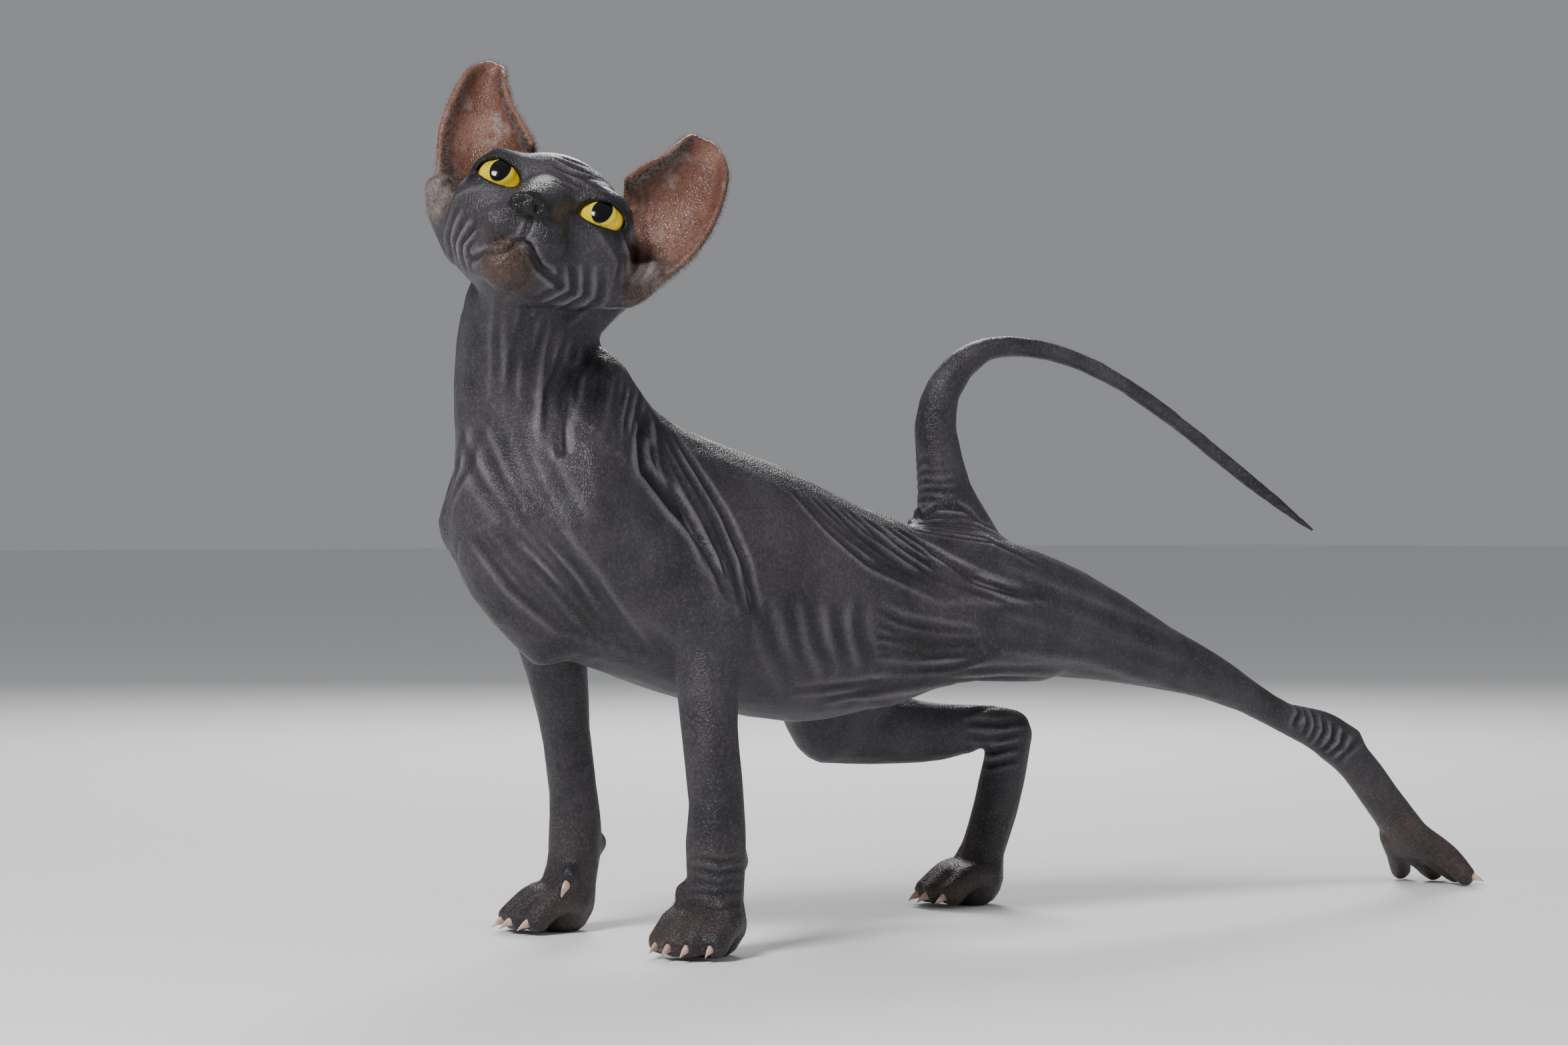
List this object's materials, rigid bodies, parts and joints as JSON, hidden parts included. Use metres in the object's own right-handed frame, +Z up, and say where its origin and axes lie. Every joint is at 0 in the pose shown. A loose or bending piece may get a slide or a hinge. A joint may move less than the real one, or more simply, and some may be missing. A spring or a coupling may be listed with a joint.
{
  "type": "sphynx cat",
  "caption": "Life-size hairless cat standing with its head turned to one side, curled ears, a curved tail and one hind leg stretched out behind.",
  "frame": {"origin": "middle of the footprint's bounding rectangle, on the floor the paws stand on", "axes": "+X from the chest towards the tail and the stretched hind leg, +Y to the animal's right, +Z up"},
  "size_m": [0.5844, 0.1584, 0.367],
  "materials": {
    "skin": "bare wrinkled skin, slate grey, satin",
    "paw_skin": "dark brown-grey skin with short down",
    "ear_skin": "thin warm skin, reddish inside",
    "eye": "yellow-green iris with a black oval pupil under a clear wet cornea",
    "claw": "ivory-pink horn"
  },
  "bodies": {
    "root": {"claw_fore_left_1": "claw", "claw_fore_left_2": "claw", "claw_fore_left_3": "claw", "claw_fore_left_4": "claw", "claw_fore_right_1": "claw", "claw_fore_right_2": "claw", "claw_fore_right_3": "claw", "claw_fore_right_4": "claw", "claw_hind_left_1": "claw", "claw_hind_left_2": "claw", "claw_hind_left_3": "claw", "claw_hind_left_4": "claw", "claw_hind_right_1": "claw", "claw_hind_right_2": "claw", "claw_hind_right_3": "claw", "claw_hind_right_4": "claw", "dewclaw_fore_left": "claw", "dewclaw_fore_right": "claw", "ear_left": "ear_skin", "ear_right": "ear_skin", "eye_left": "eye", "eye_right": "eye", "foreleg_left": "skin", "foreleg_right": "skin", "forepaw_left": "paw_skin", "forepaw_right": "paw_skin", "head": "skin", "hindpaw_left": "paw_skin", "hindpaw_right": "paw_skin", "neck": "skin", "shank_left": "skin", "shank_right": "skin", "tail_1": "skin", "tail_2": "skin", "tail_3": "skin", "tail_4": "skin", "tail_5": "skin", "thigh_left": "skin", "torso": "skin"}
  },
  "joints": []
}
